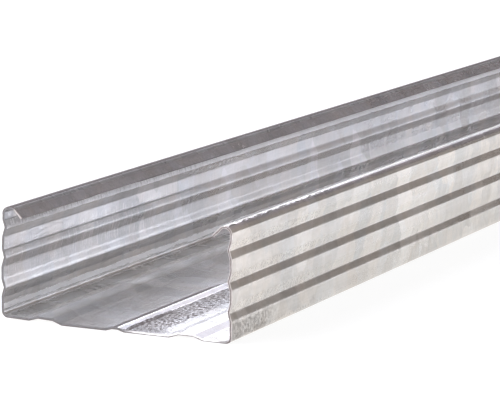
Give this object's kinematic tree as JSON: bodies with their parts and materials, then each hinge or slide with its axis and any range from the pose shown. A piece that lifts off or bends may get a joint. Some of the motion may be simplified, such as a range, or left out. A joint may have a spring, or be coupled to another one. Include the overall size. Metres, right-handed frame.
{
  "type": "drywall ceiling channel",
  "caption": "Roll-formed galvanised steel C channel with beaded web and flanges and lips rolled inwards, for hanging a plasterboard ceiling.",
  "frame": {"origin": "middle of the web's back face, half way along the channel", "axes": "+X along the channel, +Y across its web, +Z from the web towards the open side between the lips"},
  "size_m": [2.6, 0.06, 0.027],
  "materials": {
    "galvanised_steel": "zinc coated cold-rolled strip, fine spangle, lengthwise roller marks and small scratches"
  },
  "bodies": {
    "root": {"channel": "galvanised_steel"}
  },
  "joints": []
}
